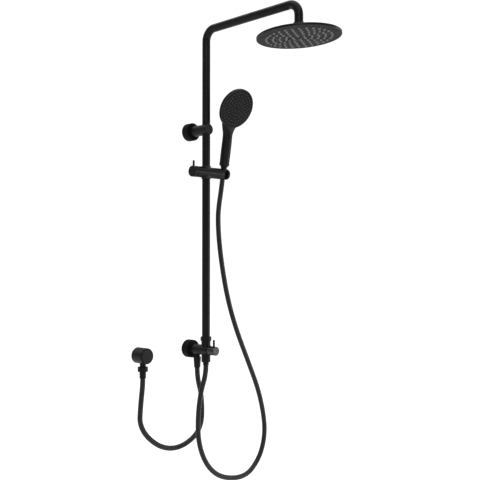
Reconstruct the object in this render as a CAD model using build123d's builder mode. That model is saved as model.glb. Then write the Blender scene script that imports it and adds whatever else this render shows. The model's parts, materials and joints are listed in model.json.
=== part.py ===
"""Wall-mounted rainfall shower column, in millimetres.

The origin is the centre of the lower wall flange's back face. +X runs along the wall to the right of
somebody who faces it, +Y points into the wall and +Z points up.
"""

import math
import os

from build123d import *

os.makedirs("parts", exist_ok=True)

# Driving dimensions -------------------------------------------------------------------------------
tube_r = 11.0            # riser and arm tube, outside
tube_wall = 1.5
standoff = 74.0          # wall to riser axis
bracket_z = 601.0        # upper wall bracket
arm_z = 874.0            # axis of the horizontal arm
arm_reach = 340.0        # riser axis to rain head axis
arm_bend_r = 31.0        # both bends of the gooseneck, on the axis
arm_end_z = 824.5        # open end of the gooseneck above the rain head

ball_z = 800.0           # centre of the rain head's ball joint
ball_r = 8.0
head_lean = 2.5          # degrees the rain head hangs off level, about X and about Y
head_r = 105.0
head_under = 13.0        # ball centre to the underside of the head

slider_z = 483.5         # axis of the slider's bar at rest
bar_r = 15.0
bar_left = -52.0
bar_right = 79.0
grip_x = 63.0            # hand shower axis
grip_lean = 10.0         # degrees the hand shower leans away from the wall

flange_r = 24.5
flange_depth = 22.0
body_r = 14.0            # diverter body
post_r = 14.8            # upper post
knob_r = 12.0
pin_r = 2.9              # both lever pins
inlet_y = 38.0           # wall to the axis of the diverter's inlet

elbow_x = -174.0
elbow_z = -6.0
elbow_r = 21.0
elbow_depth = 42.0
spout_y = 22.0           # wall to the axis of the elbow's spout

hose_r = 7.0
thread_r = 10.2          # G1/2 male thread
fit = 0.05               # radial clearance of a running fit


# Datums: each one's Z axis is the axis that its pieces are turned about ---------------------------
def datum(origin, axis, across=(1, 0, 0)):
    return Plane(origin=origin, x_dir=across, z_dir=axis)


def section(base):
    """The plane through a datum's axis: x is the radius and y is the height along the axis."""
    return Plane(origin=base.origin, x_dir=base.x_dir, z_dir=-base.y_dir)


def turning_axis(base):
    return Axis(base.origin, base.z_dir)


def leaning(forward, sideways=0.0):
    """Unit vector near +Z that leans away from the wall and towards +X, in degrees."""
    lean = Vector(math.tan(math.radians(sideways)), -math.tan(math.radians(forward)), 1)
    return lean.normalized()


riser = datum((0, -standoff, 0), (0, 0, 1))
lower = datum((0, 0, 0), (0, -1, 0))
upper = datum((0, 0, bracket_z), (0, -1, 0))
inlet = datum((0, -inlet_y, 0), (0, 0, -1))
outlet = datum((0, -standoff, 0), (0, 0, -1))
bar = datum((0, -standoff, slider_z), (1, 0, 0), (0, 1, 0))
grip = datum((grip_x, -standoff, slider_z), leaning(grip_lean))
drop = datum((0, -standoff - arm_reach, ball_z), (0, 0, 1))
head = datum(drop.origin, leaning(-head_lean, -head_lean))
elbow = datum((elbow_x, 0, elbow_z), (0, -1, 0))
spout = datum((elbow_x, -spout_y, elbow_z), (0, 0, -1))


def keep(part_builder, name):
    part_builder.part.label = name
    export_step(part_builder.part, f"parts/{name}.step")


def cylinder_on(base, radius, start, length, mode=Mode.ADD):
    """Cylinder on a datum's axis, from height start."""
    with Locations(Plane(origin=base.from_local_coords((0, 0, start)), x_dir=base.x_dir, z_dir=base.z_dir)):
        Cylinder(radius, length, align=(Align.CENTER, Align.CENTER, Align.MIN), mode=mode)


# Wall sockets, screwed to the wall behind the flanges ---------------------------------------------
socket_plate_r = 19.0
socket_plate_t = 4.0
socket_boss_r = 9.0
socket_boss_end = 21.0
screw_spacing = 26.0
screw_hole_r = 2.5
grub_r = 2.5

for side, place in (("lower", lower), ("upper", upper)):
    with BuildPart() as wall_socket:
        with BuildSketch(place):
            Circle(socket_plate_r)
            with GridLocations(screw_spacing, 0, 2, 1):
                Circle(screw_hole_r, mode=Mode.SUBTRACT)
        extrude(amount=socket_plate_t)
        with BuildSketch(place.offset(socket_plate_t)):
            Circle(socket_boss_r)
        extrude(amount=socket_boss_end - socket_plate_t)
        chamfer(wall_socket.faces().sort_by(turning_axis(place))[-1].edges(), 1.0)
    keep(wall_socket, f"{side}_wall_socket")

# Flange covers: thin cups with a bevelled front edge ----------------------------------------------
cover_wall = 1.5
flange_bevel = 2.5

for side, place, neck in (("lower", lower, body_r), ("upper", upper, post_r)):
    with BuildPart() as flange_cover:
        with BuildSketch(section(place)):
            with BuildLine():
                Polyline(
                    (flange_r, 0),
                    (flange_r, flange_depth - flange_bevel),
                    (flange_r - flange_bevel, flange_depth),
                    (neck + fit, flange_depth),
                    (neck + fit, flange_depth - cover_wall),
                    (flange_r - flange_bevel - cover_wall / 2, flange_depth - cover_wall),
                    (flange_r - cover_wall, flange_depth - flange_bevel - cover_wall / 2),
                    (flange_r - cover_wall, 0),
                    close=True,
                )
            make_face()
        revolve(axis=turning_axis(place))
        outer_rim = flange_cover.edges().filter_by(GeomType.CIRCLE).group_by(lambda e: e.radius)[-1]
        fillet(outer_rim.sort_by(turning_axis(place))[-1], 0.8)
    keep(flange_cover, f"{side}_flange_cover")

# Upper bracket post: sleeves over its socket and holds the riser ----------------------------------
post_start = 6.0
post_end = standoff + 12.6
sleeve_end = socket_boss_end + 0.5
grub_y = 12.0

with BuildPart() as upper_post:
    cylinder_on(upper, post_r, post_start, post_end - post_start)
    chamfer(upper_post.faces().sort_by(Axis.Y)[0].edges(), 1.5)
    cylinder_on(upper, socket_boss_r + fit, post_start, sleeve_end - post_start, Mode.SUBTRACT)
    with Locations((0, -standoff, bracket_z)):
        Cylinder(tube_r + fit, 2 * post_r + 2, mode=Mode.SUBTRACT)
    with BuildSketch(Plane.YZ):
        with Locations((-standoff, bracket_z)):
            Circle(grub_r)
    extrude(amount=post_r + 1, mode=Mode.SUBTRACT)
    with BuildSketch(Plane.XY.offset(bracket_z - post_r - 1)):
        with Locations((0, -grub_y)):
            Circle(grub_r)
    extrude(amount=post_r + 1, mode=Mode.SUBTRACT)
keep(upper_post, "upper_post")

# Grub screws: two hold the sleeves on their sockets, one clamps the riser in the post -------------
hex_key_r = 1.3
grub_length = body_r - socket_boss_r - 1.0

with BuildPart() as socket_grub_screws:
    for base_z in (0, bracket_z):
        with BuildSketch(Plane.XY.offset(base_z - body_r + 0.6)):
            with Locations((0, -grub_y)):
                Circle(grub_r - fit)
        extrude(amount=grub_length)
        with BuildSketch(Plane.XY.offset(base_z - body_r + 0.6)):
            with Locations((0, -grub_y)):
                RegularPolygon(hex_key_r, 6)
        extrude(amount=2.0, mode=Mode.SUBTRACT)
keep(socket_grub_screws, "socket_grub_screws")

tube_grub_length = post_r - tube_r - 0.6
with BuildPart() as tube_grub_screw:
    with BuildSketch(Plane.YZ.offset(tube_r + 0.1)):
        with Locations((-standoff, bracket_z)):
            Circle(grub_r - fit)
    extrude(amount=tube_grub_length)
    with BuildSketch(Plane.YZ.offset(tube_r + 0.1 + tube_grub_length)):
        with Locations((-standoff, bracket_z)):
            RegularPolygon(hex_key_r, 6)
    extrude(amount=-1.2, mode=Mode.SUBTRACT)
keep(tube_grub_screw, "tube_grub_screw")

# Slide rail and gooseneck -------------------------------------------------------------------------
rail_foot_z = 12.0
joint_gap = 0.5
tube_bore_r = tube_r - tube_wall

with BuildPart() as slide_rail:
    with BuildSketch(riser.offset(rail_foot_z)):
        Circle(tube_r)
        Circle(tube_bore_r, mode=Mode.SUBTRACT)
    extrude(amount=bracket_z - joint_gap - rail_foot_z)
keep(slide_rail, "slide_rail")

with BuildPart() as gooseneck:
    with BuildLine() as arm_line:
        FilletPolyline(
            (0, -standoff, bracket_z + joint_gap),
            (0, -standoff, arm_z),
            (0, -standoff - arm_reach, arm_z),
            (0, -standoff - arm_reach, arm_end_z),
            radius=arm_bend_r,
        )
    with BuildSketch(riser.offset(bracket_z + joint_gap)):
        Circle(tube_r)
        Circle(tube_bore_r, mode=Mode.SUBTRACT)
    sweep()
keep(gooseneck, "gooseneck")

# Joiner between the two tubes, inside the post, with four O-rings ---------------------------------
joiner_half = 20.0
joiner_r = tube_bore_r - fit
joiner_bore_r = 6.5
groove_depth = 1.0
groove_width = 2.0
groove_heights = [sign * offset for sign in (-1, 1) for offset in (8.0, 15.0)]

with BuildPart() as tube_joiner:
    cylinder_on(riser, joiner_r, bracket_z - joiner_half, 2 * joiner_half)
    cylinder_on(riser, tube_r, bracket_z - joint_gap, 2 * joint_gap)
    cylinder_on(riser, joiner_bore_r, bracket_z - joiner_half, 2 * joiner_half, Mode.SUBTRACT)
    for height in groove_heights:
        with BuildSketch(riser.offset(bracket_z + height - groove_width / 2)):
            Circle(joiner_r)
            Circle(joiner_r - groove_depth, mode=Mode.SUBTRACT)
        extrude(amount=groove_width, mode=Mode.SUBTRACT)
keep(tube_joiner, "tube_joiner")

with BuildPart() as joiner_seals:
    for height in groove_heights:
        with BuildSketch(riser.offset(bracket_z + height - groove_width / 2 + 0.1)):
            Circle(joiner_r)
            Circle(joiner_r - groove_depth, mode=Mode.SUBTRACT)
        extrude(amount=groove_width - 0.2)
keep(joiner_seals, "joiner_seals")

# Diverter body: one brass body along -Y with the riser's socket on top and two nipples below ------
body_start = 8.0
body_end = standoff + 14.0
socket_top = 31.0
neck_r = 12.5
chamber_start = 30.0
cartridge_start = 60.0
cartridge_bore_r = 10.0
gland_start = 82.0
gland_bore_r = 11.5
passage_r = 5.0
nipple_bore_r = 5.5
inlet_nipple_r = 7.5
inlet_nipple_end = 24.0
outlet_nipple_end = 25.0

with BuildPart() as diverter_body:
    cylinder_on(lower, body_r, body_start, body_end - body_start)
    cylinder_on(riser, neck_r, 0, socket_top)
    cylinder_on(outlet, neck_r - 0.5, 0, body_r + 0.3)
    cylinder_on(outlet, thread_r, 0, outlet_nipple_end)
    cylinder_on(inlet, inlet_nipple_r, 0, inlet_nipple_end)
    cylinder_on(lower, socket_boss_r + fit, body_start, sleeve_end - body_start, Mode.SUBTRACT)
    cylinder_on(lower, cartridge_bore_r - 3, chamber_start, body_end - chamber_start, Mode.SUBTRACT)
    cylinder_on(lower, cartridge_bore_r, cartridge_start, body_end - cartridge_start, Mode.SUBTRACT)
    cylinder_on(lower, gland_bore_r, gland_start, body_end - gland_start, Mode.SUBTRACT)
    cylinder_on(riser, passage_r, 0, socket_top, Mode.SUBTRACT)
    cylinder_on(riser, tube_r + fit, rail_foot_z, socket_top - rail_foot_z, Mode.SUBTRACT)
    cylinder_on(outlet, passage_r, 0, outlet_nipple_end, Mode.SUBTRACT)
    cylinder_on(inlet, nipple_bore_r, 0, inlet_nipple_end, Mode.SUBTRACT)
    with BuildSketch(Plane.XY.offset(-body_r - 1)):
        with Locations((0, -grub_y)):
            Circle(grub_r)
    extrude(amount=body_r + 1, mode=Mode.SUBTRACT)
keep(diverter_body, "diverter_body")

# Collar nut and seal at the riser's foot ----------------------------------------------------------
nut_bottom = 24.5
nut_lip = 33.0
nut_top = 37.0
nut_r = 15.0

with BuildPart() as riser_nut:
    with BuildSketch(section(riser)):
        with BuildLine():
            Polyline(
                (neck_r + fit, nut_bottom),
                (nut_r - 2.0, nut_bottom),
                (nut_r, nut_bottom + 2.0),
                (nut_r, nut_top - 1.2),
                (nut_r - 1.2, nut_top),
                (tube_r + 0.1, nut_top),
                (tube_r + 0.1, nut_lip),
                (neck_r + fit, nut_lip),
                close=True,
            )
        make_face()
    revolve(axis=turning_axis(riser))
keep(riser_nut, "riser_nut")

with BuildPart() as riser_seal:
    with BuildSketch(riser.offset(socket_top)):
        Circle(neck_r)
        Circle(tube_r + 0.02, mode=Mode.SUBTRACT)
    extrude(amount=nut_lip - socket_top)
keep(riser_seal, "riser_seal")

# Diverter cartridge -------------------------------------------------------------------------------
sleeve_r = cartridge_bore_r - fit
sleeve_bore_r = 6.5
plug_r = sleeve_bore_r - fit
shaft_r = 4.0
shaft_end = 101.5
plug_start = 61.0
plug_end = 80.0
port_r = 3.5
seal_heights = (62.0, 79.0)
seal_width = 1.8

with BuildPart() as cartridge_sleeve:
    cylinder_on(lower, sleeve_r, cartridge_start, gland_start - cartridge_start)
    cylinder_on(lower, sleeve_bore_r, cartridge_start, gland_start - cartridge_start, Mode.SUBTRACT)
    with Locations((0, -standoff, 0)):
        Cylinder(passage_r - 0.5, 2 * cartridge_bore_r + 2, mode=Mode.SUBTRACT)
    for height in seal_heights:
        with BuildSketch(lower.offset(height)):
            Circle(sleeve_r)
            Circle(sleeve_r - groove_depth, mode=Mode.SUBTRACT)
        extrude(amount=seal_width, mode=Mode.SUBTRACT)
keep(cartridge_sleeve, "cartridge_sleeve")

with BuildPart() as cartridge_seals:
    for height in seal_heights:
        with BuildSketch(lower.offset(height + 0.1)):
            Circle(sleeve_r)
            Circle(sleeve_r - groove_depth, mode=Mode.SUBTRACT)
        extrude(amount=seal_width - 0.2)
keep(cartridge_seals, "cartridge_seals")

screw_core_r = 2.0
with BuildPart() as cartridge_spindle:
    cylinder_on(lower, plug_r, plug_start, plug_end - plug_start)
    cylinder_on(lower, shaft_r, plug_end, shaft_end - plug_end)
    cylinder_on(lower, port_r, plug_start, standoff + port_r - plug_start, Mode.SUBTRACT)
    cylinder_on(riser, port_r, 0, plug_r + 1, Mode.SUBTRACT)
    cylinder_on(lower, screw_core_r, 88.0, shaft_end - 88.0, Mode.SUBTRACT)
keep(cartridge_spindle, "cartridge_spindle")

with BuildPart() as cartridge_nut:
    with BuildSketch(lower.offset(gland_start)):
        Circle(gland_bore_r - fit)
        Circle(shaft_r + fit, mode=Mode.SUBTRACT)
    extrude(amount=body_end - gland_start)
keep(cartridge_nut, "cartridge_nut")

# Diverter knob with its screw, cap and pin --------------------------------------------------------
knob_start = body_end + 0.6
knob_end = 116.0
web_start = shaft_end + 0.3
web_end = web_start + 2.2
cap_seat = 113.0
recess_r = 7.5
knob_pin_y = 106.0
pin_foot_r = 2.0
knob_pin_top = 30.0

with BuildPart() as diverter_knob:
    with BuildSketch(section(lower)):
        with BuildLine():
            Polyline(
                (shaft_r + 0.02, knob_start),
                (knob_r - 0.6, knob_start),
                (knob_r, knob_start + 0.6),
                (knob_r, knob_end - 1.4),
                (knob_r - 1.4, knob_end),
                (recess_r, knob_end),
                (recess_r, web_end),
                (screw_core_r + 0.1, web_end),
                (screw_core_r + 0.1, web_start),
                (shaft_r + 0.02, web_start),
                close=True,
            )
        make_face()
    revolve(axis=turning_axis(lower))
    with Locations((0, -knob_pin_y, recess_r - 1)):
        Cylinder(
            pin_foot_r + 0.02, knob_r, align=(Align.CENTER, Align.CENTER, Align.MIN), mode=Mode.SUBTRACT
        )
    with Locations((0, -knob_pin_y, knob_r - 1)):
        Cylinder(pin_r + 0.02, 5, align=(Align.CENTER, Align.CENTER, Align.MIN), mode=Mode.SUBTRACT)
keep(diverter_knob, "diverter_knob")

with BuildPart() as knob_screw:
    cylinder_on(lower, 3.6, web_end, 2.8)
    cylinder_on(lower, screw_core_r - 0.02, 90.0, web_end - 90.0)
    with BuildSketch(lower.offset(web_end + 2.8)):
        RegularPolygon(1.5, 6)
    extrude(amount=-1.8, mode=Mode.SUBTRACT)
keep(knob_screw, "knob_screw")

with BuildPart() as knob_cap:
    cylinder_on(lower, recess_r - 0.02, cap_seat, knob_end - cap_seat - 0.4)
    cylinder_on(lower, 1.6, knob_end - 1.4, 2.0, Mode.SUBTRACT)
    fillet(knob_cap.faces().sort_by(Axis.Y)[0].edges().sort_by(SortBy.RADIUS)[-1], 0.4)
keep(knob_cap, "knob_cap")

with BuildPart() as knob_pin:
    with Locations((0, -knob_pin_y, recess_r)):
        Cylinder(pin_foot_r, 5, align=(Align.CENTER, Align.CENTER, Align.MIN))
    with Locations((0, -knob_pin_y, knob_r - 1)):
        Cylinder(pin_r, knob_pin_top - knob_r + 1, align=(Align.CENTER, Align.CENTER, Align.MIN))
    fillet(knob_pin.faces().sort_by(Axis.Z)[-1].edges(), pin_r * 0.8)
keep(knob_pin, "knob_pin")

# Slider: two flanged bushings run on the rail, and the bar turns round them -----------------------
bushing_r = 12.5
bushing_lip_r = 13.8
bushing_end = 17.0
bushing_lip = 1.6
bushing_inner_end = 6.0
body_left = -38.0
body_right = 36.0

for side, sign in (("upper", 1), ("lower", -1)):
    with BuildPart() as rail_bushing:
        with BuildSketch(section(riser)):
            with BuildLine():
                Polyline(
                    (tube_r + fit, slider_z + sign * bushing_inner_end),
                    (bushing_r, slider_z + sign * bushing_inner_end),
                    (bushing_r, slider_z + sign * (bushing_end - bushing_lip)),
                    (bushing_lip_r, slider_z + sign * (bushing_end - bushing_lip)),
                    (bushing_lip_r, slider_z + sign * (bushing_end - 0.5)),
                    (bushing_lip_r - 0.5, slider_z + sign * bushing_end),
                    (tube_r + fit, slider_z + sign * bushing_end),
                    close=True,
                )
            make_face()
        revolve(axis=turning_axis(riser))
    keep(rail_bushing, f"{side}_rail_bushing")

shoe_r = 5.0
shoe_start = -30.0
lock_thread_r = 4.0
bolt_r = 4.0
bolt_head_r = 6.5
bolt_head_start = 13.4
bolt_head_end = 17.0
washer_seat = 20.0

with BuildPart() as slider_body:
    cylinder_on(bar, bar_r, body_left, body_right - body_left)
    chamfer(slider_body.edges().filter_by(GeomType.CIRCLE), 0.6)
    with Locations((0, -standoff, slider_z)):
        Cylinder(bushing_r + fit, 2 * bar_r + 2, mode=Mode.SUBTRACT)
    cylinder_on(bar, shoe_r + fit, shoe_start, -shoe_start, Mode.SUBTRACT)
    cylinder_on(bar, lock_thread_r + fit, body_left, shoe_start - body_left, Mode.SUBTRACT)
    cylinder_on(bar, bolt_head_r + 0.3, 0, washer_seat, Mode.SUBTRACT)
    cylinder_on(bar, bolt_r + fit, washer_seat, body_right - washer_seat, Mode.SUBTRACT)
keep(slider_body, "slider_body")

with BuildPart() as lock_shoe:
    cylinder_on(bar, shoe_r, shoe_start + 6, -shoe_start - 6)
    with Locations((0, -standoff, slider_z)):
        Cylinder(tube_r + fit, 2 * shoe_r + 2, mode=Mode.SUBTRACT)
keep(lock_shoe, "lock_shoe")

# Lock: end cap with a pin lever, on the clamping screw --------------------------------------------
cap_inner = body_left - 0.3
lock_pin_x = -45.0
screw_left = -49.0
lock_pin_top = 30.0

with BuildPart() as lock_cap:
    cylinder_on(bar, bar_r, bar_left, cap_inner - bar_left)
    fillet(lock_cap.faces().sort_by(Axis.X)[0].edges(), 2.2)
    chamfer(lock_cap.faces().sort_by(Axis.X)[-1].edges(), 0.6)
    cylinder_on(bar, lock_thread_r + 0.02, screw_left, cap_inner - screw_left, Mode.SUBTRACT)
    with Locations((lock_pin_x, -standoff, slider_z + 6)):
        Cylinder(pin_foot_r + 0.02, bar_r, align=(Align.CENTER, Align.CENTER, Align.MIN), mode=Mode.SUBTRACT)
    with Locations((lock_pin_x, -standoff, slider_z + bar_r - 1)):
        Cylinder(pin_r + 0.02, 5, align=(Align.CENTER, Align.CENTER, Align.MIN), mode=Mode.SUBTRACT)
keep(lock_cap, "lock_cap")

with BuildPart() as lock_screw:
    cylinder_on(bar, lock_thread_r, screw_left, shoe_start + 5.7 - screw_left)
    chamfer(lock_screw.faces().sort_by(Axis.X)[-1].edges(), 0.6)
keep(lock_screw, "lock_screw")

with BuildPart() as lock_pin:
    with Locations((lock_pin_x, -standoff, slider_z + 6)):
        Cylinder(pin_foot_r, 9, align=(Align.CENTER, Align.CENTER, Align.MIN))
    with Locations((lock_pin_x, -standoff, slider_z + bar_r - 1)):
        Cylinder(pin_r, lock_pin_top - bar_r + 1, align=(Align.CENTER, Align.CENTER, Align.MIN))
    fillet(lock_pin.faces().sort_by(Axis.Z)[-1].edges(), pin_r * 0.8)
keep(lock_pin, "lock_pin")

# Cradle: turns on a bolt along the bar and holds the hose cone in a slotted conical seat ----------
tilt_ring_t = 1.0
cradle_left = body_right + tilt_ring_t + 0.1
bolt_end = 46.0
seat_bottom = -13.0
seat_bottom_r = 7.7
seat_taper = 0.035
slot_width = 14.6


def seat_r(height):
    """Radius of the conical seat at a height along the hand shower's axis."""
    return seat_bottom_r + seat_taper * (height - seat_bottom)


with BuildPart() as tilt_ring:
    with BuildSketch(bar.offset(body_right)):
        Circle(bar_r - 0.8)
        Circle(bolt_r + fit, mode=Mode.SUBTRACT)
    extrude(amount=tilt_ring_t)
keep(tilt_ring, "tilt_ring")

with BuildPart() as cradle:
    cylinder_on(bar, bar_r, cradle_left, bar_right - cradle_left)
    fillet(cradle.faces().sort_by(Axis.X)[-1].edges(), 4.0)
    chamfer(cradle.faces().sort_by(Axis.X)[0].edges(), 0.6)
    cylinder_on(bar, bolt_r + 0.02, cradle_left, bolt_end - cradle_left, Mode.SUBTRACT)
    with BuildSketch(section(grip)):
        with BuildLine():
            Polyline(
                (0, -2 * bar_r),
                (seat_r(-2 * bar_r), -2 * bar_r),
                (seat_r(2 * bar_r), 2 * bar_r),
                (0, 2 * bar_r),
                close=True,
            )
        make_face()
    revolve(axis=turning_axis(grip), mode=Mode.SUBTRACT)
    with BuildSketch(grip.offset(-2 * bar_r)):
        with Locations((0, -bar_r)):
            Rectangle(slot_width, 2 * bar_r)
    extrude(amount=4 * bar_r, mode=Mode.SUBTRACT)
keep(cradle, "cradle")

with BuildPart() as pivot_bolt:
    cylinder_on(bar, bolt_head_r, bolt_head_start, bolt_head_end - bolt_head_start)
    cylinder_on(bar, bolt_r, bolt_head_end, bolt_end - bolt_head_end)
keep(pivot_bolt, "pivot_bolt")

with BuildPart() as tilt_spring_washers:
    for start in (bolt_head_end + 0.1, bolt_head_end + 1.5):
        with BuildSketch(bar.offset(start)):
            Circle(bolt_head_r)
            Circle(bolt_r + 0.1, mode=Mode.SUBTRACT)
        extrude(amount=1.3)
keep(tilt_spring_washers, "tilt_spring_washers")

# Hose cone, which seats in the cradle and screws to the hand shower -------------------------------
cone_gap = 0.1
cone_top = 20.0
rim_top = 23.0
cone_rim_r = 10.8
insert_thread_r = 7.6
washer_floor = 10.0
hose_bore_r = 4.0

with BuildPart() as hose_cone:
    with BuildSketch(section(grip)):
        with BuildLine():
            Polyline(
                (hose_bore_r, seat_bottom),
                (seat_r(seat_bottom) - cone_gap, seat_bottom),
                (seat_r(cone_top) - cone_gap, cone_top),
                (cone_rim_r, cone_top + 0.5),
                (cone_rim_r, rim_top),
                (insert_thread_r + fit, rim_top),
                (insert_thread_r + fit, washer_floor),
                (hose_bore_r, washer_floor),
                close=True,
            )
        make_face()
    revolve(axis=turning_axis(grip))
keep(hose_cone, "hose_cone")

with BuildPart() as handset_washer:
    with BuildSketch(grip.offset(washer_floor)):
        Circle(insert_thread_r)
        Circle(hose_bore_r + 0.5, mode=Mode.SUBTRACT)
    extrude(amount=1.5)
keep(handset_washer, "handset_washer")

# Hand shower: a straight handle that widens into a shallow dish -----------------------------------
handle_r = 13.6
handle_bottom = 23.6
handle_ring_top = 30.0
handle_ring_r = 14.0
handle_bore_r = 8.5
insert_r = 10.5
insert_end = 42.0
neck_start = 110.0       # heights along the handle where the neck begins and where it ends inside the dish
neck_middle = 140.0
neck_end = 166.0
face_r = 56.0
face_height = 182.0      # face centre along the handle
face_forward = 25.5      # and in front of the handle's axis
face_lean = 18.0         # degrees between the face's normal and the handle's cross-section
dome_depth = 25.0
rim_depth = 9.0
plate_r = 51.0
plate_t = 3.0
chamber_r = 48.8
chamber_depth = 8.0
scoop_start = 100.0

lean_cos = math.cos(math.radians(face_lean))
lean_sin = math.sin(math.radians(face_lean))
face = datum(
    grip.from_local_coords((0, -face_forward, face_height)),
    grip.y_dir * -lean_cos - grip.z_dir * lean_sin,
)
face_foot = (-face_forward + face_r * lean_sin, face_height - face_r * lean_cos)
face_head = (-face_forward - face_r * lean_sin * 2, face_height + face_r * lean_cos * 2)

with BuildPart() as handset_shell:
    with BuildSketch(section(grip)):
        with BuildLine():
            Polyline(
                (0, handle_bottom),
                (handle_ring_r - 1.6, handle_bottom),
                (handle_ring_r, handle_bottom + 1.6),
                (handle_ring_r, handle_ring_top),
                (handle_r, handle_ring_top + 0.4),
                (handle_r - 0.4, neck_start),
                (0, neck_start),
                close=True,
            )
        make_face()
    revolve(axis=turning_axis(grip))
    with BuildSketch(grip.offset(neck_start)):
        Circle(handle_r - 0.4)
    with BuildSketch(grip.offset(neck_middle)):
        with Locations((0, -4.5)):
            Ellipse(25.0, 11.0)
    with BuildSketch(grip.offset(neck_end)):
        with Locations((0, -6.0)):
            Ellipse(34.0, 8.5)
    loft()
    with BuildSketch(section(face)):
        with BuildLine():
            dome = ThreePointArc((0, -dome_depth), (33.0, -20.0), (face_r - 1.0, -rim_depth))
            Polyline(
                dome @ 1,
                (face_r, 2.0 - rim_depth),
                (face_r, -0.6),
                (face_r - 0.6, 0),
                (0, 0),
                dome @ 0,
            )
        make_face()
    revolve(axis=turning_axis(face))
    with BuildSketch(Plane(origin=grip.origin, x_dir=grip.y_dir, z_dir=grip.x_dir)):
        with BuildLine():
            Polyline(
                (-handle_r - 0.2, scoop_start),
                face_foot,
                face_head,
                (-3 * face_r, face_height),
                close=True,
            )
        make_face()
    extrude(amount=2 * face_r, both=True, mode=Mode.SUBTRACT)
    with BuildSketch(section(face)):
        with BuildLine():
            cavity = ThreePointArc((0, 2.5 - dome_depth), (30.0, -17.8), (chamber_r + fit, -chamber_depth))
            Polyline(
                cavity @ 1,
                (chamber_r + fit, -plate_t),
                (plate_r + fit, -plate_t),
                (plate_r + fit, 1.0),
                (0, 1.0),
                cavity @ 0,
            )
        make_face()
    revolve(axis=turning_axis(face), mode=Mode.SUBTRACT)
    cylinder_on(grip, handle_bore_r, insert_end, neck_middle - insert_end, Mode.SUBTRACT)
    cylinder_on(grip, insert_r + fit, handle_bottom, insert_end - handle_bottom, Mode.SUBTRACT)
keep(handset_shell, "handset_shell")

with BuildPart() as handset_insert:
    cylinder_on(grip, insert_thread_r, washer_floor + 1.5, handle_bottom - washer_floor - 1.5)
    cylinder_on(grip, insert_r, handle_bottom, insert_end - handle_bottom)
    cylinder_on(grip, hose_bore_r, washer_floor, insert_end, Mode.SUBTRACT)
keep(handset_insert, "handset_insert")


def ring_locations(spacing, count):
    """Nozzle places: ring n has radius n x spacing and 6n places."""
    places = []
    for ring in range(1, count + 1):
        for step in range(6 * ring):
            turn = 2 * math.pi * (step + 0.5 * (ring % 2)) / (6 * ring)
            places.append((ring * spacing * math.cos(turn), ring * spacing * math.sin(turn)))
    return places


def spray_plate(name, base, radius, thickness, places, hole_r):
    """Disc whose front lies on the datum, with a hole at every place."""
    with BuildPart() as plate:
        with BuildSketch(base):
            Circle(radius)
            with Locations(*places):
                Circle(hole_r, mode=Mode.SUBTRACT)
        extrude(amount=-thickness)
    keep(plate, name)


def nozzle_mat(name, base, radius, hub, back, mat_t, places, nozzle_r):
    """Soft ring behind a plate, with a nozzle standing through the plate at every place."""
    with BuildPart() as mat:
        with BuildSketch(base.offset(back)):
            Circle(radius)
            Circle(hub, mode=Mode.SUBTRACT)
            with Locations(*places):
                Circle(jet_r, mode=Mode.SUBTRACT)
        extrude(amount=-mat_t)
        with BuildSketch(base.offset(back)):
            with Locations(*places):
                Circle(nozzle_r)
            with Locations(*places):
                Circle(jet_r, mode=Mode.SUBTRACT)
        extrude(amount=nozzle_stand - back)
    keep(mat, name)


hand_places = ring_locations(9.0, 5)
hand_nozzle_r = 1.7
jet_r = 0.6
nozzle_stand = 1.2
hand_hub_r = 3.0
mat_t = 1.2

spray_plate("handset_spray_plate", face, plate_r, plate_t, hand_places, hand_nozzle_r + 0.03)
nozzle_mat("handset_nozzles", face, chamber_r, hand_hub_r, -plate_t, mat_t, hand_places, hand_nozzle_r)

with BuildPart() as handset_chamber:
    with BuildSketch(face.offset(-plate_t - mat_t)):
        Circle(chamber_r)
        Circle(6.0, mode=Mode.SUBTRACT)
    extrude(amount=plate_t + mat_t - chamber_depth + 0.2)
    with BuildSketch(face.offset(-plate_t - mat_t)):
        Circle(chamber_r - 1.5)
    extrude(amount=-2.0, mode=Mode.SUBTRACT)
keep(handset_chamber, "handset_chamber")

# Rain head's fittings: nipple in the arm's end, seal, and ball stem -------------------------------
stem_nut_r = 13.5
stem_nut_bottom = 809.0
stem_floor = 813.0
seal_t = 1.5
stem_neck_r = 4.0
stem_bore_r = 2.5
nipple_rise = 12.0

with BuildPart() as arm_nipple:
    cylinder_on(drop, tube_bore_r - fit, arm_end_z - ball_z, nipple_rise)
    cylinder_on(drop, thread_r, stem_floor + seal_t - ball_z, arm_end_z - stem_floor - seal_t)
    cylinder_on(drop, joiner_bore_r, 0, 60.0, Mode.SUBTRACT)
keep(arm_nipple, "arm_nipple")

with BuildPart() as arm_seal:
    with BuildSketch(drop.offset(stem_floor - ball_z)):
        Circle(thread_r)
        Circle(joiner_bore_r, mode=Mode.SUBTRACT)
    extrude(amount=seal_t)
keep(arm_seal, "arm_seal")

with BuildPart() as ball_stem:
    with Locations(drop.origin):
        Sphere(ball_r)
    cylinder_on(drop, stem_neck_r, 0, stem_nut_bottom - ball_z + 1)
    cylinder_on(drop, stem_nut_r, stem_nut_bottom - ball_z, arm_end_z - stem_nut_bottom)
    nut_rims = ball_stem.edges().filter_by(GeomType.CIRCLE).filter_by(lambda e: e.radius > stem_nut_r - 0.1)
    chamfer(nut_rims, 1.2)
    cylinder_on(drop, thread_r + fit, stem_floor - ball_z, 20.0, Mode.SUBTRACT)
    cylinder_on(drop, stem_bore_r, -ball_r, 30.0, Mode.SUBTRACT)
keep(ball_stem, "ball_stem")

# Rain head ----------------------------------------------------------------------------------------
head_t = 7.0
head_wall = 1.5
face_plate_t = 2.0
seat_outer_r = ball_r + 1.5
socket_r = seat_outer_r + fit
collar_r = 14.0
collar_top = 3.0
retainer_foot = collar_top + fit
retainer_top = 5.5
hub_r = 12.6
head_rings = 5
head_ring_step = 16.2
head_nozzle_r = 2.5

under = -head_under
over = head_t - head_under


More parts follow.
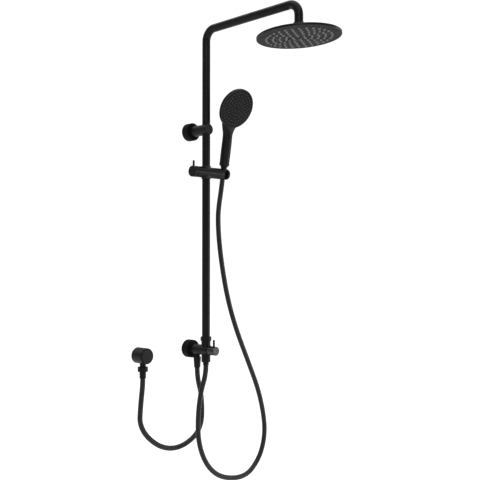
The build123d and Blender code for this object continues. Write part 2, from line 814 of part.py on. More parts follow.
def sphere_r(radius, height):
    """Radius of a sphere about the ball centre at a height."""
    return math.sqrt(radius**2 - height**2)


with BuildPart() as ball_seat:
    with Locations(drop.origin):
        Sphere(seat_outer_r)
        Sphere(ball_r + fit, mode=Mode.SUBTRACT)
    with BuildSketch(head.offset(3.0)):
        Circle(2 * ball_r)
    extrude(amount=2 * ball_r, mode=Mode.SUBTRACT)
    with BuildSketch(head.offset(-6.5)):
        Circle(2 * ball_r)
    extrude(amount=-2 * ball_r, mode=Mode.SUBTRACT)
keep(ball_seat, "ball_seat")

with BuildPart() as head_top:
    with BuildSketch(section(head)):
        with BuildLine():
            Polyline(
                (0, under + face_plate_t),
                (hub_r, under + face_plate_t),
                (hub_r, over - head_wall),
                (head_r - head_wall, over - head_wall - 0.5),
                (head_r - head_wall, under),
                (head_r - 0.5, under),
                (head_r, under + 0.5),
                (head_r, over - 1.8),
                (head_r - 1.4, over - 0.6),
                (30.0, over + 0.8),
                (19.0, over + 1.8),
                (collar_r, over + 4.2),
                (collar_r, collar_top),
                (0, collar_top),
                close=True,
            )
        make_face()
    revolve(axis=turning_axis(head))
    with Locations(head.origin):
        Sphere(socket_r, mode=Mode.SUBTRACT)
    cylinder_on(head, 4.0, under, head_under, Mode.SUBTRACT)
    for turn in range(0, 360, 60):
        outward = head.x_dir * math.cos(math.radians(turn)) + head.y_dir * math.sin(math.radians(turn))
        port = datum(head.from_local_coords((0, 0, under + face_plate_t + 1.1)), outward, head.z_dir)
        cylinder_on(port, 1.0, 3.0, hub_r - 2.0, Mode.SUBTRACT)
keep(head_top, "head_top")

with BuildPart() as head_retainer:
    with BuildSketch(section(head)):
        with BuildLine():
            Polyline(
                (sphere_r(socket_r, retainer_foot), retainer_foot),
                (collar_r, retainer_foot),
                (collar_r, retainer_top - 1.2),
                (collar_r - 1.2, retainer_top),
                (sphere_r(socket_r, retainer_top), retainer_top),
                close=True,
            )
        make_face()
    revolve(axis=turning_axis(head))
    with Locations(head.origin):
        Sphere(socket_r, mode=Mode.SUBTRACT)
keep(head_retainer, "head_retainer")

head_face = datum(head.from_local_coords((0, 0, under)), -head.z_dir)
rain_places = ring_locations(head_ring_step, head_rings)

head_plate_r = head_r - head_wall - fit
head_mat_r = head_plate_r - 4.0
head_mat_t = 0.8

spray_plate("head_face_plate", head_face, head_plate_r, face_plate_t, rain_places, head_nozzle_r + 0.03)
nozzle_mat(
    "head_nozzles", head_face, head_mat_r, hub_r + 0.3, -face_plate_t, head_mat_t, rain_places, head_nozzle_r
)

# Supply elbow on the wall -------------------------------------------------------------------------
elbow_body_r = 14.0
elbow_thread_r = 9.6
elbow_thread_depth = 14.0
elbow_round = 4.0
elbow_ring_start = 31.0
elbow_ring_end = 36.0
spout_neck_r = 8.0
spout_nut_start = 28.2
spout_thread_end = 35.0

with BuildPart() as elbow_cover:
    cylinder_on(elbow, elbow_r, 0.3, elbow_depth - 0.3)
    fillet(elbow_cover.faces().sort_by(Axis.Y)[0].edges(), elbow_round)
    cylinder_on(elbow, elbow_r - cover_wall, 0.3, elbow_depth - 0.3 - 2.0, Mode.SUBTRACT)
    cylinder_on(spout, spout_neck_r + 0.1, 0, elbow_r + 1, Mode.SUBTRACT)
keep(elbow_cover, "elbow_cover")

with BuildPart() as elbow_body:
    cylinder_on(elbow, elbow_body_r, 0, elbow_ring_end)
    cylinder_on(elbow, elbow_r - cover_wall - fit, elbow_ring_start, elbow_ring_end - elbow_ring_start)
    cylinder_on(spout, spout_neck_r, 0, spout_nut_start)
    cylinder_on(spout, thread_r, spout_nut_start, spout_thread_end - spout_nut_start)
    cylinder_on(elbow, elbow_thread_r, 0, elbow_thread_depth, Mode.SUBTRACT)
    cylinder_on(elbow, passage_r, 0, spout_y + passage_r, Mode.SUBTRACT)
    cylinder_on(spout, passage_r, 0, spout_thread_end, Mode.SUBTRACT)
keep(elbow_body, "elbow_body")

# Hose ends: a union nut holds a flanged tail with its ferrule against the thread ------------------
tail_r = 5.6
tail_flange_t = 2.2
washer_t = 1.6


def hose_end(name, place, nut_radius, nut_start, thread_end, nut_end, ferrule_radius, ferrule_end):
    flange_start = thread_end + washer_t
    flange_end = flange_start + tail_flange_t
    with BuildPart() as union_nut:
        cylinder_on(place, nut_radius, nut_start, nut_end - nut_start)
        chamfer(union_nut.edges().filter_by(GeomType.CIRCLE), 0.8)
        cylinder_on(place, thread_r + fit, nut_start, flange_end - nut_start, Mode.SUBTRACT)
        cylinder_on(place, tail_r + fit, flange_end, nut_end - flange_end, Mode.SUBTRACT)
    keep(union_nut, f"{name}_nut")
    with BuildPart() as union_washer:
        cylinder_on(place, thread_r - 0.4, thread_end, washer_t)
        cylinder_on(place, passage_r, thread_end, washer_t, Mode.SUBTRACT)
    keep(union_washer, f"{name}_washer")
    with BuildPart() as ferrule:
        cylinder_on(place, thread_r - 0.4, flange_start, tail_flange_t)
        cylinder_on(place, tail_r, flange_end, nut_end - flange_end)
        cylinder_on(place, ferrule_radius, nut_end, ferrule_end - nut_end)
        cylinder_on(place, hose_bore_r, flange_start, ferrule_end - flange_start, Mode.SUBTRACT)
    keep(ferrule, f"{name}_ferrule")


supply_end = 58.0
outlet_end = 40.0
hose_end("supply_hose", spout, stem_nut_r, spout_nut_start + 0.2, spout_thread_end, 41.0, 8.6, supply_end)
hose_end("hand_hose", outlet, 12.2, body_r + 0.6, outlet_nipple_end, 32.0, 8.0, outlet_end)

inlet_cone_start = 20.0
inlet_cone_end = 49.0
with BuildPart() as inlet_cone_nut:
    with BuildSketch(section(inlet)):
        with BuildLine():
            Polyline(
                (inlet_nipple_r + fit, inlet_cone_start),
                (10.0, inlet_cone_start),
                (10.5, inlet_cone_start + 0.5),
                (8.7, inlet_cone_end),
                (hose_bore_r, inlet_cone_end),
                (hose_bore_r, inlet_nipple_end + washer_t),
                (inlet_nipple_r + fit, inlet_nipple_end + washer_t),
                close=True,
            )
        make_face()
    revolve(axis=turning_axis(inlet))
keep(inlet_cone_nut, "inlet_cone_nut")

with BuildPart() as inlet_washer:
    cylinder_on(inlet, inlet_nipple_r, inlet_nipple_end, washer_t)
    cylinder_on(inlet, hose_bore_r, inlet_nipple_end, washer_t, Mode.SUBTRACT)
keep(inlet_washer, "inlet_washer")


# Hoses, as rounded routes through hand-set corners ------------------------------------------------
def hose(name, corners):
    """Solid hose along a route with a rounded corner at every inner point."""
    points = [Vector(*corner) for corner in corners]
    runs = [(after - before).length for before, after in zip(points, points[1:])]
    radii = []
    for index in range(1, len(points) - 1):
        turn = math.radians((points[index] - points[index - 1]).get_angle(points[index + 1] - points[index]))
        radii.append(0.45 * min(runs[index - 1], runs[index]) / math.tan(turn / 2))
    with BuildPart() as hose_part:
        with BuildLine() as route:
            FilletPolyline(*points, radius=radii)
        with BuildSketch(Plane(origin=points[0], z_dir=points[1] - points[0])):
            Circle(hose_r)
        sweep()
    length = route.wire().length
    expected = math.pi * hose_r**2 * length
    print(name, "length", round(length, 1), "smallest bend", round(min(radii), 1))
    print(name, "volume against section x length", round(hose_part.part.volume / expected, 4))
    keep(hose_part, name)


hose(
    "supply_hose",
    [
        spout.from_local_coords((0, 0, supply_end)),
        (elbow_x, -spout_y, -82),
        (-180, -spout_y, -128),
        (-185, -spout_y, -194),
        (-122, -26, -253),
        (-51, -32, -263),
        (18, -37, -222),
        (18, -inlet_y, -132),
        (0, -inlet_y, -78),
        inlet.from_local_coords((0, 0, inlet_cone_end)),
    ],
)

hose(
    "hand_hose",
    [
        outlet.from_local_coords((0, 0, outlet_end)),
        (0, -standoff, -65),
        (-19, -standoff, -112),
        (-29, -standoff, -180),
        (-26, -standoff, -250),
        (4, -standoff, -314),
        (59, -standoff, -356),
        (150, -standoff, -369),
        (204, -standoff, -327),
        (227, -standoff, -272),
        (227, -standoff, -217),
        (205, -standoff, -134),
        (163, -standoff, -48),
        (113, -standoff, 50),
        (77, -standoff, 146),
        (51, -standoff, 268),
        (43, -standoff, 356),
        (48, -standoff, 400),
        grip.from_local_coords((0, 0, seat_bottom - 35)),
        grip.from_local_coords((0, 0, seat_bottom)),
    ],
)
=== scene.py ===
"""Rainfall shower column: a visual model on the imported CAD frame, in metres.

Lengths in the makers are in millimetres and go through MM.
"""

import json
import math

import bmesh
import bpy
from mathutils import Matrix, Vector


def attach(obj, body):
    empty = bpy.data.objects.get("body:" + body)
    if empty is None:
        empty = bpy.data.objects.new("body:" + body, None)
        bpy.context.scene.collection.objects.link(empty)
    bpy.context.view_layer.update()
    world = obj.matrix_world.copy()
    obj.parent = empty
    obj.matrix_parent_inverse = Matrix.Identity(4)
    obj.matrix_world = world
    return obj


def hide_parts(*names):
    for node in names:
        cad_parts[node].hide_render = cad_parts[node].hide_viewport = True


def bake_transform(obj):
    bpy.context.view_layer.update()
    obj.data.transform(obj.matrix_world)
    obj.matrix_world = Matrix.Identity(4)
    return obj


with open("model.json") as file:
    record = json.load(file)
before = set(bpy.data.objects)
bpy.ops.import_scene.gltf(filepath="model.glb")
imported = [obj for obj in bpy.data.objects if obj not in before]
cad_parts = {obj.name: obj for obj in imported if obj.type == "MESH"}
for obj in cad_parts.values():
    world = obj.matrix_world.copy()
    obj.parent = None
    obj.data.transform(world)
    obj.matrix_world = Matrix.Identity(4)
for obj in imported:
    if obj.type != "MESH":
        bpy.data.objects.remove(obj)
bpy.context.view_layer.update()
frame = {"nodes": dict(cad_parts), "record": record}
MM = 0.001

# Dimensions that the CAD model has too
STANDOFF = 74.0
ARM_REACH = 340.0
BALL_Z = 800.0
HEAD_LEAN = 2.5
HEAD_UNDER = 13.0
SLIDER_Z = 483.5
GRIP_X = 63.0
GRIP_LEAN = 10.0
FACE_HEIGHT = 182.0
FACE_FORWARD = 25.5
FACE_LEAN = 18.0
INLET_Y = 38.0
ELBOW_X = -174.0
ELBOW_Z = -6.0
SPOUT_Y = 22.0
HOSE_R = 7.0
CONE_FOOT = -13.0
SUPPLY_HOSE_START = 58.0
SUPPLY_HOSE_END = 49.0
HAND_HOSE_START = 40.0


# Camera
def make_camera():
    data = bpy.data.cameras.new("camera")
    data.sensor_width = 36.0
    data.lens = 61.39
    data.clip_start = 0.05
    data.clip_end = 60.0
    camera = bpy.data.objects.new("camera", data)
    camera.location = (-1.48187, -1.7416, 0.23563)
    camera.rotation_euler = (math.radians(91.63), 0.0, math.radians(-44.0))
    bpy.context.scene.collection.objects.link(camera)
    bpy.context.scene.camera = camera


make_camera()


# Datums: the Z axis of each is the axis that its pieces are turned about
def datum(origin, axis):
    z_dir = Vector(axis).normalized()
    x_dir = Vector((1, 0, 0))
    x_dir = (x_dir - z_dir * x_dir.dot(z_dir)).normalized()
    y_dir = z_dir.cross(x_dir)
    turn = Matrix((x_dir, y_dir, z_dir)).transposed().to_4x4()
    return Matrix.Translation(Vector(origin) * MM) @ turn


def leaning(forward, sideways=0.0):
    """Upward direction that leans by two angles in degrees."""
    run = Vector((math.tan(math.radians(sideways)), -math.tan(math.radians(forward)), 1))
    return run.normalized()


def along(base, *local):
    """Point of a datum in metres, from local millimetres."""
    return base @ (Vector(local) * MM)


inlet = datum((0, -INLET_Y, 0), (0, 0, -1))
outlet = datum((0, -STANDOFF, 0), (0, 0, -1))
spout = datum((ELBOW_X, -SPOUT_Y, ELBOW_Z), (0, 0, -1))
grip = datum((GRIP_X, -STANDOFF, SLIDER_Z), leaning(GRIP_LEAN))
ball = Vector((0, -STANDOFF - ARM_REACH, BALL_Z))
head_axis = leaning(-HEAD_LEAN, -HEAD_LEAN)
head_face = datum(ball - head_axis * HEAD_UNDER, -head_axis)
face_tilt = math.radians(FACE_LEAN)
face_place = grip @ (Vector((0, -FACE_FORWARD, FACE_HEIGHT)) * MM) / MM
face_normal = grip.to_3x3() @ Vector((0, -math.cos(face_tilt), -math.sin(face_tilt)))
face = datum(face_place, face_normal)


# Materials
def new_material(name):
    material = bpy.data.materials.new(name)
    material.use_nodes = True
    tree = material.node_tree
    shader = tree.nodes["Principled BSDF"]
    return material, tree, shader


def add(tree, kind, **sockets):
    """New node with socket values, by name."""
    node = tree.nodes.new(kind)
    for key, value in sockets.items():
        node.inputs[key].default_value = value
    return node


def noise(tree, scale, detail=3.0, vector=None):
    node = add(tree, "ShaderNodeTexNoise", Scale=scale, Detail=detail)
    if vector is None:
        vector = tree.nodes.new("ShaderNodeTexCoord").outputs["Object"]
    tree.links.new(vector, node.inputs["Vector"])
    return node.outputs["Fac"]


def ramp(tree, fac, stops):
    """Colour ramp from a list of (place, grey or colour)."""
    node = tree.nodes.new("ShaderNodeValToRGB")
    tree.links.new(fac, node.inputs["Fac"])
    elements = node.color_ramp.elements
    while len(elements) < len(stops):
        elements.new(0.5)
    for element, (place, value) in zip(elements, stops):
        element.position = place
        colour = value if isinstance(value, tuple) else (value,) * 3
        element.color = (*colour, 1.0)
    return node.outputs["Color"]


def noise_ramp(tree, fac, low, high):
    """Ramp over the middle of a noise, where nearly all of its values are."""
    return ramp(tree, fac, [(0.3, low), (0.7, high)])


def bump(tree, height, strength, distance):
    node = add(tree, "ShaderNodeBump", Strength=strength, Distance=distance)
    tree.links.new(height, node.inputs["Height"])
    return node.outputs["Normal"]


def coated(name, dark, light, rough, grain, level):
    """A coating with cloudy tone and gloss, and a fine orange-peel surface."""
    material, tree, shader = new_material(name)
    cloud = noise(tree, 22.0, 4.0)
    peel = noise(tree, grain, 2.0)
    tree.links.new(noise_ramp(tree, cloud, dark, light), shader.inputs["Base Color"])
    gloss = noise_ramp(tree, noise(tree, 60.0, 5.0), rough - 0.05, rough + 0.06)
    tree.links.new(gloss, shader.inputs["Roughness"])
    tree.links.new(bump(tree, peel, 0.12, 0.0003), shader.inputs["Normal"])
    shader.inputs["Specular IOR Level"].default_value = level
    return material


black_coat = coated(
    "black_coat", (0.0034, 0.0034, 0.0036), (0.0056, 0.0056, 0.0059), 0.33, 900.0, 0.1
)
black_knob = coated(
    "black_knob", (0.007, 0.007, 0.0072), (0.010, 0.010, 0.0104), 0.27, 700.0, 0.3
)
black_plastic = coated(
    "black_plastic", (0.0044, 0.0044, 0.0046), (0.0066, 0.0066, 0.0069), 0.36, 1400.0, 0.1
)
face_plastic = coated(
    "face_plastic", (0.008, 0.008, 0.0084), (0.012, 0.012, 0.0125), 0.5, 2200.0, 0.028
)
matt_coat = coated(
    "matt_coat", (0.0038, 0.0038, 0.004), (0.006, 0.006, 0.0063), 0.55, 900.0, 0.03
)
dark_nylon = coated(
    "dark_nylon", (0.010, 0.010, 0.0105), (0.018, 0.018, 0.0185), 0.5, 1800.0, 0.2
)


def make_silicone(name, dark, light):
    material, tree, shader = new_material(name)
    cloud = noise(tree, 300.0)
    tree.links.new(noise_ramp(tree, cloud, dark, light), shader.inputs["Base Color"])
    shader.inputs["Roughness"].default_value = 0.62
    shader.inputs["Specular IOR Level"].default_value = 0.25
    tree.links.new(bump(tree, noise(tree, 2500.0), 0.15, 0.0002), shader.inputs["Normal"])
    return material


rain_silicone = make_silicone("rain_silicone", (0.11, 0.11, 0.113), (0.16, 0.16, 0.164))
hand_silicone = make_silicone("hand_silicone", (0.024, 0.024, 0.025), (0.036, 0.036, 0.0375))
seal_rubber = make_silicone("seal_rubber", (0.010, 0.010, 0.010), (0.020, 0.020, 0.020))


def make_metal(name, dark, light, rough, streak):
    """Turned metal: fine rings from the lathe, seen as streaks in tone and gloss."""
    material, tree, shader = new_material(name)
    place = tree.nodes.new("ShaderNodeTexCoord")
    stretch = add(tree, "ShaderNodeMapping", Scale=streak)
    tree.links.new(place.outputs["Object"], stretch.inputs["Vector"])
    lines = noise(tree, 40.0, 4.0, stretch.outputs["Vector"])
    tree.links.new(noise_ramp(tree, lines, dark, light), shader.inputs["Base Color"])
    tree.links.new(noise_ramp(tree, lines, rough, rough + 0.12), shader.inputs["Roughness"])
    shader.inputs["Metallic"].default_value = 1.0
    tree.links.new(bump(tree, lines, 0.1, 0.0001), shader.inputs["Normal"])
    return material


brass = make_metal("brass", (0.34, 0.23, 0.09), (0.46, 0.33, 0.15), 0.32, (1.0, 30.0, 1.0))
steel = make_metal("steel", (0.36, 0.36, 0.37), (0.52, 0.52, 0.53), 0.26, (30.0, 1.0, 1.0))


def make_hose_material():
    """Black interlocked strip with painted shade: darker in the grooves and lighter on the ridges.
    """
    material, tree, shader = new_material("hose_strip")
    ridge = tree.nodes.new("ShaderNodeAttribute")
    ridge.attribute_name = "ridge"
    # Painted shade: the base colour is darkest in the grooves and lighter on the ridges, following
    # the ridge height.
    tone = ramp(tree, ridge.outputs["Fac"], [(0.0, 0.0015), (0.45, 0.004), (1.0, 0.008)])
    tree.links.new(tone, shader.inputs["Base Color"])
    gloss = noise_ramp(tree, noise(tree, 180.0, 4.0), 0.30, 0.42)
    tree.links.new(gloss, shader.inputs["Roughness"])
    shader.inputs["Specular IOR Level"].default_value = 0.22
    tree.links.new(bump(tree, noise(tree, 1500.0), 0.12, 0.0002), shader.inputs["Normal"])
    return material


hose_strip = make_hose_material()


# Mesh makers
def finish_mesh(name, bm, material, smooth_angle=None):
    """Turns a bmesh into an object with a material in its one slot."""
    bmesh.ops.recalc_face_normals(bm, faces=bm.faces)
    mesh = bpy.data.meshes.new(name)
    bm.to_mesh(mesh)
    bm.free()
    mesh.shade_smooth()
    if smooth_angle is not None:
        mesh.set_sharp_from_angle(angle=math.radians(smooth_angle))
    mesh.materials.append(material)
    piece = bpy.data.objects.new(name, mesh)
    bpy.context.scene.collection.objects.link(piece)
    return piece


BEVEL_STEPS = 4
ON_AXIS = 1e-6


def softened(profile, closed):
    """Profile points with each corner that has a bevel turned into a small arc."""
    points = []
    count = len(profile)
    for index, corner in enumerate(profile):
        here = Vector(corner[:2])
        size = corner[2] if len(corner) > 2 else 0.0
        open_end = not closed and index in (0, count - 1)
        if size <= 0 or open_end:
            points.append(here)
            continue
        before = Vector(profile[index - 1][:2])
        after = Vector(profile[(index + 1) % count][:2])
        first = here + (before - here).normalized() * size
        last = here + (after - here).normalized() * size
        for step in range(BEVEL_STEPS + 1):
            t = step / BEVEL_STEPS
            points.append(first * (1 - t) ** 2 + here * 2 * t * (1 - t) + last * t**2)
    return points


def revolve(bm, base, profile, closed=False, segments=96):
    """Adds a surface turned about a datum's Z axis. Profile is (radius, height[, bevel])."""
    rings = []
    for point in softened(profile, closed):
        if point.x < ON_AXIS:
            rings.append([bm.verts.new(along(base, 0, 0, point.y))])
            continue
        ring = []
        for step in range(segments):
            turn = 2 * math.pi * step / segments
            x, y = point.x * math.cos(turn), point.x * math.sin(turn)
            ring.append(bm.verts.new(along(base, x, y, point.y)))
        rings.append(ring)
    pairs = list(zip(rings, rings[1:]))
    if closed:
        pairs.append((rings[-1], rings[0]))
    for one, two in pairs:
        for step in range(segments):
            following = (step + 1) % segments
            if len(one) == 1 and len(two) == 1:
                continue
            if len(one) == 1:
                bm.faces.new((one[0], two[step], two[following]))
            elif len(two) == 1:
                bm.faces.new((one[step], two[0], one[following]))
            else:
                bm.faces.new((one[step], two[step], two[following], one[following]))


def frames_along(path):
    """Two cross directions at every point of a path, without twist."""
    frames = []
    side = None
    for index in range(len(path)):
        ahead = path[min(index + 1, len(path) - 1)]
        behind = path[max(index - 1, 0)]
        tangent = (ahead - behind).normalized()
        if side is None:
            side = tangent.orthogonal().normalized()
        side = (side - tangent * side.dot(tangent)).normalized()
        frames.append((side, tangent.cross(side)))
    return frames


def evenly(path, step):
    """Points every step along a dense path, and the distance of each from its start."""
    points = [path[0].copy()]
    places = [0.0]
    gone = 0.0
    target = step
    for one, two in zip(path, path[1:]):
        run = (two - one).length
        while run > 0 and gone + run >= target:
            points.append(one.lerp(two, (target - gone) / run))
            places.append(target)
            target += step
        gone += run
    return points, places


# Hoses
def spline_path(name, corners):
    """Points read from the NURBS spline that has the route's corners as control points."""
    data = bpy.data.curves.new(name, "CURVE")
    data.dimensions = "3D"
    spline = data.splines.new("NURBS")
    spline.points.add(len(corners) - 1)
    for point, corner in zip(spline.points, corners):
        point.co = (*corner, 1.0)
    spline.order_u = 3
    spline.use_endpoint_u = True
    spline.resolution_u = 24
    curve = bpy.data.objects.new(name, data)
    bpy.context.scene.collection.objects.link(curve)
    bpy.context.view_layer.update()
    depsgraph = bpy.context.evaluated_depsgraph_get()
    mesh = bpy.data.meshes.new_from_object(curve.evaluated_get(depsgraph))
    path = [vertex.co.copy() for vertex in mesh.vertices]
    bpy.data.objects.remove(curve)
    bpy.data.meshes.remove(mesh)
    return path


RIDGE_PITCH = 3.6 * MM
RINGS_PER_RIDGE = 6
RIDGE_DEPTH = 0.45 * MM
GROOVE = 0.22
HOSE_SIDES = 24


def ridge_height(phase):
    """Height of the strip across one pitch: down into the groove, then over the ridge."""
    phase -= math.floor(phase)
    half_groove = GROOVE / 2
    if phase < half_groove:
        return 0.5 - 0.5 * math.cos(math.pi * (1 - phase / half_groove))
    if phase < GROOVE:
        return 0.0
    return math.sin(math.pi * (phase - GROOVE) / (1 - GROOVE)) ** 0.5


def hose_tube(path, start_place=0.0):
    """Tube along a path with the helical ridges of an interlocked hose."""
    points, places = evenly(path, RIDGE_PITCH / RINGS_PER_RIDGE)
    bm = bmesh.new()
    # The ridge layer holds the height that the hose material turns into painted shade in the
    # grooves.
    layer = bm.verts.layers.float.new("ridge")
    rings = []
    for point, place, (side, up) in zip(points, places, frames_along(points)):
        ring = []
        for step in range(HOSE_SIDES):
            turn = 2 * math.pi * step / HOSE_SIDES
            height = ridge_height((place + start_place) / RIDGE_PITCH + step / HOSE_SIDES)
            reach = HOSE_R * MM - RIDGE_DEPTH * (1 - height)
            spot = point + side * math.cos(turn) * reach + up * math.sin(turn) * reach
            vertex = bm.verts.new(spot)
            vertex[layer] = height
            ring.append(vertex)
        rings.append(ring)
    join_rings(bm, rings)
    for ring in (rings[0], rings[-1]):
        bm.faces.new(ring)
    return bm


def join_rings(bm, rings):
    """Walls between rings that have the same number of vertices."""
    for one, two in zip(rings, rings[1:]):
        for step in range(len(one)):
            following = (step + 1) % len(one)
            bm.faces.new((one[step], one[following], two[following], two[step]))


def between(path, low, high):
    """The part of a dense path between two distances from its start."""
    kept = []
    gone = 0.0
    for one, two in zip(path, path[1:]):
        run = (two - one).length
        if gone + run >= low and gone <= high:
            if not kept:
                kept.append(one.lerp(two, max(0.0, (low - gone) / run)))
            kept.append(one.lerp(two, min(1.0, (high - gone) / run)))
        gone += run
    return kept


def path_length(path):
    return sum((two - one).length for one, two in zip(path, path[1:]))


def metres(*corners):
    return [Vector(corner) * MM for corner in corners]


supply_route = [
    along(spout, 0, 0, SUPPLY_HOSE_START),
    *metres(
        (ELBOW_X, -SPOUT_Y, -82),
        (-180, -SPOUT_Y, -128),
        (-185, -SPOUT_Y, -194),
        (-122, -26, -253),
        (-51, -32, -263),
        (18, -37, -222),
        (18, -INLET_Y, -132),
        (0, -INLET_Y, -78),
    ),
    along(inlet, 0, 0, SUPPLY_HOSE_END),
]
hand_route = [
    along(outlet, 0, 0, HAND_HOSE_START),
    *metres(
        (0, -STANDOFF, -65),
        (-19, -STANDOFF, -112),
        (-29, -STANDOFF, -180),
        (-26, -STANDOFF, -250),
        (4, -STANDOFF, -314),
        (59, -STANDOFF, -356),
        (150, -STANDOFF, -369),
        (204, -STANDOFF, -327),
        (227, -STANDOFF, -272),
        (227, -STANDOFF, -217),
        (205, -STANDOFF, -134),
        (163, -STANDOFF, -48),
        (113, -STANDOFF, 50),
        (77, -STANDOFF, 146),
        (51, -STANDOFF, 268),
        (43, -STANDOFF, 356),
        (48, -STANDOFF, 400),
    ),
    along(grip, 0, 0, -48),
    along(grip, 0, 0, CONE_FOOT),
]


def make_supply_hose():
    path = spline_path("supply_route", supply_route)
    piece = finish_mesh("supply_hose_cover", hose_tube(path), hose_strip)
    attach(piece, "column")
    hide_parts("supply_hose")


LEG_LENGTH = 230 * MM
MID_LENGTH = 45 * MM
TOP_LENGTH = 55 * MM
INSIDE_CONE = 33 * MM
LAP = 1.5 * MM


def make_hand_hose():
    """The hand hose in four lengths, of which the loop goes with the carriage.

    The leg under the diverter and two short lengths below the hand shower are not attached to a
    body. Each length laps over the next.
    """
    whole = spline_path("hand_route", hand_route)
    whole.append(along(grip, 0, 0, CONE_FOOT + INSIDE_CONE / MM))
    total = path_length(whole)
    top_start = total - INSIDE_CONE - TOP_LENGTH
    mid_start = top_start - MID_LENGTH
    pieces = []
    for name, low, high in (
        ("hand_hose_leg", 0.0, LEG_LENGTH),
        ("hand_hose_cover", LEG_LENGTH, mid_start),
        ("hand_hose_middle", mid_start, top_start),
        ("hand_hose_top", top_start, total),
    ):
        path = between(whole, low, high + LAP)
        pieces.append(finish_mesh(name, hose_tube(path, low), hose_strip))
    leg, run, middle, top = pieces
    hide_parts("hand_hose")
    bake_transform(leg)
    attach(run, "carriage")
    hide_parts("hand_hose")
    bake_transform(middle)
    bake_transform(top)


make_supply_hose()
make_hand_hose()


# Hose cone: a thin sleeve whose bore clears the hose, which stays behind as the hand shower lifts
SLEEVE_BORE = 7.2
SLEEVE_WIDE_BORE = 7.65
SLEEVE_SHOULDER = 20.5
SLEEVE_RIM = 23.5
RIM_R = 10.8
EDGE_ANGLE = 50.0


def make_hose_cone():
    profile = [
        (SLEEVE_BORE, CONE_FOOT, 0.2),
        (7.6, CONE_FOOT, 0.2),
        (8.75, 20.0, 0.3),
        (RIM_R, SLEEVE_SHOULDER, 0.5),
        (RIM_R, SLEEVE_RIM, 0.4),
        (SLEEVE_WIDE_BORE, SLEEVE_RIM, 0.1),
        (SLEEVE_WIDE_BORE, 10.0, 0.2),
        (SLEEVE_BORE, 10.0, 0.2),
    ]
    bm = bmesh.new()
    revolve(bm, grip, profile, closed=True)
    piece = finish_mesh("hose_cone_sleeve", bm, black_coat, EDGE_ANGLE)
    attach(piece, "hand_shower")
    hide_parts("hose_cone")


make_hose_cone()

# Hand shower
NECK_START = 31.6
NECK_STEP = 2.0
NECK_RINGS = 68
HANDLE_SEGMENTS = 72
DISH_SEGMENTS = 128
WELD = 0.02 * MM
HANDLE_FOOT = [
    (8.6, 23.6),
    (12.6, 23.6, 0.6),
    (14.2, 25.2, 0.8),
    (14.2, 29.6, 0.8),
    (13.6, NECK_START, 1.2),
]
DISH_R = 55.0
DISH_BACK = -25.0
DISH_RISE = 16.0
DISH_STEPS = 12
DISH_POWER = 2.3
DISH_RIM = [(56.0, -6.5, 1.5), (56.0, 0.0, 0.8), (51.3, 0.0, 0.6), (51.3, -3.2)]


def eased(value, low, high):
    """Smooth step from 0 at low to 1 at high."""
    t = min(1.0, max(0.0, (value - low) / (high - low)))
    return t * t * (3 - 2 * t)


def neck_section(height):
    """Half width of the handle and neck, and where its front, sides and back lie from the axis."""
    radius = 13.6 + 0.3 * math.sin(math.pi * eased(height, NECK_START, 100.0))
    half_width = radius + 20.5 * eased(height, 98.0, 172.0) + 3.0 * eased(height, 106.0, 140.0)
    front = 6.4 * eased(height, 92.0, 131.0) - 8.0 * eased(height, 131.0, 165.0) - radius
    sides = -8.0 * eased(height, 120.0, 165.0)
    back = radius - 10.5 * eased(height, 100.0, 162.0)
    return half_width, front, sides, back


def neck_ring(bm, height):
    half_width, front, sides, back = neck_section(height)
    ring = []
    for step in range(HANDLE_SEGMENTS):
        turn = 2 * math.pi * step / HANDLE_SEGMENTS
        reach = back - sides if math.sin(turn) > 0 else sides - front
        x, y = half_width * math.cos(turn), sides + reach * math.sin(turn)
        ring.append(bm.verts.new(along(grip, x, y, height)))
    return ring


def make_hand_shower_shell():
    bm = bmesh.new()
    revolve(bm, grip, HANDLE_FOOT, segments=HANDLE_SEGMENTS)
    rings = [neck_ring(bm, NECK_START + step * NECK_STEP) for step in range(NECK_RINGS)]
    join_rings(bm, rings)
    bm.faces.new(rings[-1])
    bmesh.ops.remove_doubles(bm, verts=bm.verts, dist=WELD)
    dish = [(0.0, DISH_BACK)]
    for step in range(1, DISH_STEPS):
        out = step / DISH_STEPS
        dish.append((DISH_R * step / DISH_STEPS, DISH_BACK + DISH_RISE * out**DISH_POWER))
    dish.append((DISH_R, DISH_BACK + DISH_RISE, 2.5))
    revolve(bm, face, dish + DISH_RIM, segments=DISH_SEGMENTS)
    piece = finish_mesh("hand_shower_shell", bm, black_plastic, 40.0)
    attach(piece, "hand_shower")
    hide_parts("handset_shell")


make_hand_shower_shell()

# Nozzles: soft cones with a skirt on the plate and a small jet hole in the tip
NOZZLE_RINGS = 5


def ring_places(spacing):
    """Nozzle places: ring n has radius n x spacing and 6n places."""
    places = []
    for ring in range(1, NOZZLE_RINGS + 1):
        for step in range(6 * ring):
            turn = 2 * math.pi * (step + 0.5 * (ring % 2)) / (6 * ring)
            places.append((ring * spacing * math.cos(turn), ring * spacing * math.sin(turn)))
    return places


def make_nozzles(name, base, spacing, foot_r, tip_r, stand, material, body, node):
    bm = bmesh.new()
    profile = [
        (foot_r, -0.4),
        (foot_r, 0.25, 0.2),
        (foot_r - 0.5, 0.45, 0.2),
        (tip_r, stand, 0.35),
        (0.6, stand, 0.15),
        (0.5, stand - 1.0),
        (0.0, stand - 1.0),
    ]
    for x, y in ring_places(spacing):
        revolve(bm, base @ Matrix.Translation((x * MM, y * MM, 0)), profile, segments=16)
    piece = finish_mesh(name, bm, material, EDGE_ANGLE)
    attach(piece, body)
    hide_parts(node)


make_nozzles(
    "rain_nozzles", head_face, 16.2, 3.4, 2.7, 2.6, rain_silicone, "rain_head", "head_nozzles"
)
make_nozzles(
    "hand_nozzles", face, 9.0, 2.1, 1.4, 1.7, hand_silicone, "hand_shower", "handset_nozzles"
)

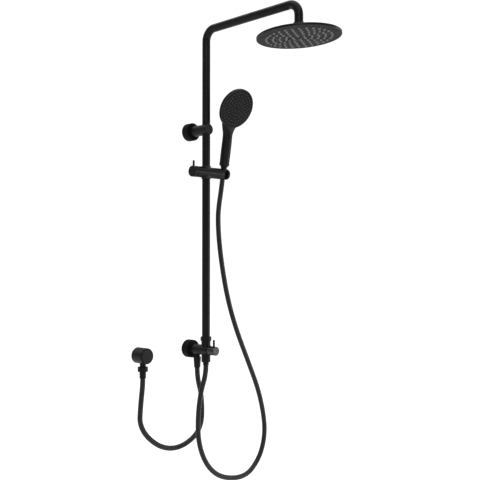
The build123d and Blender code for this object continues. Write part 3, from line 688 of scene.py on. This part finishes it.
# Finishes of the CAD nodes that stay: one for each material slot, and a few nodes of their own
FINISHES = {
    "black_coat": black_coat,
    "black_plastic": black_plastic,
    "face_plastic": face_plastic,
    "silicone": rain_silicone,
    "nylon": dark_nylon,
    "seal_rubber": seal_rubber,
    "brass": brass,
    "steel": steel,
    "hose_cover": hose_strip,
}
BY_NODE = {
    "diverter_knob": black_knob,
    "knob_cap": black_knob,
    "knob_pin": matt_coat,
    "lock_pin": matt_coat,
    "upper_flange_cover": matt_coat,
    "lower_flange_cover": matt_coat,
}


def paint_nodes():
    slots = {part["node"]: part["material_slot"] for part in frame["record"]["subparts"]}
    for name, node in frame["nodes"].items():
        material = BY_NODE.get(name, FINISHES[slots[name]])
        node.data.materials.clear()
        node.data.materials.append(material)


paint_nodes()

# Floor, world and lights
FLOOR_Z = -0.83
FLOOR_REACH = 14
WORLD_ON_OBJECT = 0.45
WORLD_SEEN = 1.1


def make_floor():
    bm = bmesh.new()
    for x, y in ((-1, -1), (1, -1), (1, 1), (-1, 1)):
        bm.verts.new((x * FLOOR_REACH, y * FLOOR_REACH, FLOOR_Z))
    bm.faces.new(bm.verts)
    mesh = bpy.data.meshes.new("floor")
    bm.to_mesh(mesh)
    bm.free()
    material, tree, shader = new_material("floor")
    tone = noise_ramp(tree, noise(tree, 0.6, 2.0), 0.86, 0.88)
    tree.links.new(tone, shader.inputs["Base Color"])
    shader.inputs["Roughness"].default_value = 0.9
    shader.inputs["Specular IOR Level"].default_value = 0.1
    mesh.materials.append(material)
    floor = bpy.data.objects.new("floor", mesh)
    bpy.context.scene.collection.objects.link(floor)


def make_world():
    """White behind the object, and a dimmer even light on it."""
    world = bpy.data.worlds.new("studio")
    world.use_nodes = True
    tree = world.node_tree
    background = tree.nodes["Background"]
    background.inputs["Color"].default_value = (1.0, 1.0, 1.0, 1.0)
    seen = tree.nodes.new("ShaderNodeLightPath")
    strength = tree.nodes.new("ShaderNodeMapRange")
    strength.inputs["To Min"].default_value = WORLD_ON_OBJECT
    strength.inputs["To Max"].default_value = WORLD_SEEN
    tree.links.new(seen.outputs["Is Camera Ray"], strength.inputs["Value"])
    tree.links.new(strength.outputs["Result"], background.inputs["Strength"])
    bpy.context.scene.world = world


def make_sun():
    """Wide soft light from straight above, which whitens the floor out to the horizon."""
    data = bpy.data.lights.new("overhead", "SUN")
    data.energy = 2.9
    data.angle = math.radians(100.0)
    sun = bpy.data.objects.new("overhead", data)
    bpy.context.scene.collection.objects.link(sun)


def make_light(name, place, target, size, power):
    data = bpy.data.lights.new(name, "AREA")
    data.shape = "RECTANGLE"
    data.size, data.size_y = size
    data.energy = power
    light = bpy.data.objects.new(name, data)
    light.visible_camera = False
    light.location = place
    aim = Vector(target) - Vector(place)
    light.rotation_euler = aim.to_track_quat("-Z", "Y").to_euler()
    bpy.context.scene.collection.objects.link(light)


make_floor()
make_world()
make_sun()
make_light("key", (-2.4, -3.2, 2.6), (0, -0.1, 0.3), (1.2, 1.6), 44)
make_light("front_right", (2.4, -2.5, 0.2), (0, -0.1, 0.1), (1.1, 1.8), 30)
make_light("right_strip", (2.9, -0.9, 0.9), (0, -0.1, 0.3), (0.6, 2.6), 15)
make_light("left_strip", (-1.0, 2.8, 0.9), (0, -0.1, 0.3), (0.6, 2.6), 8)
bpy.context.scene.view_settings.view_transform = "Standard"
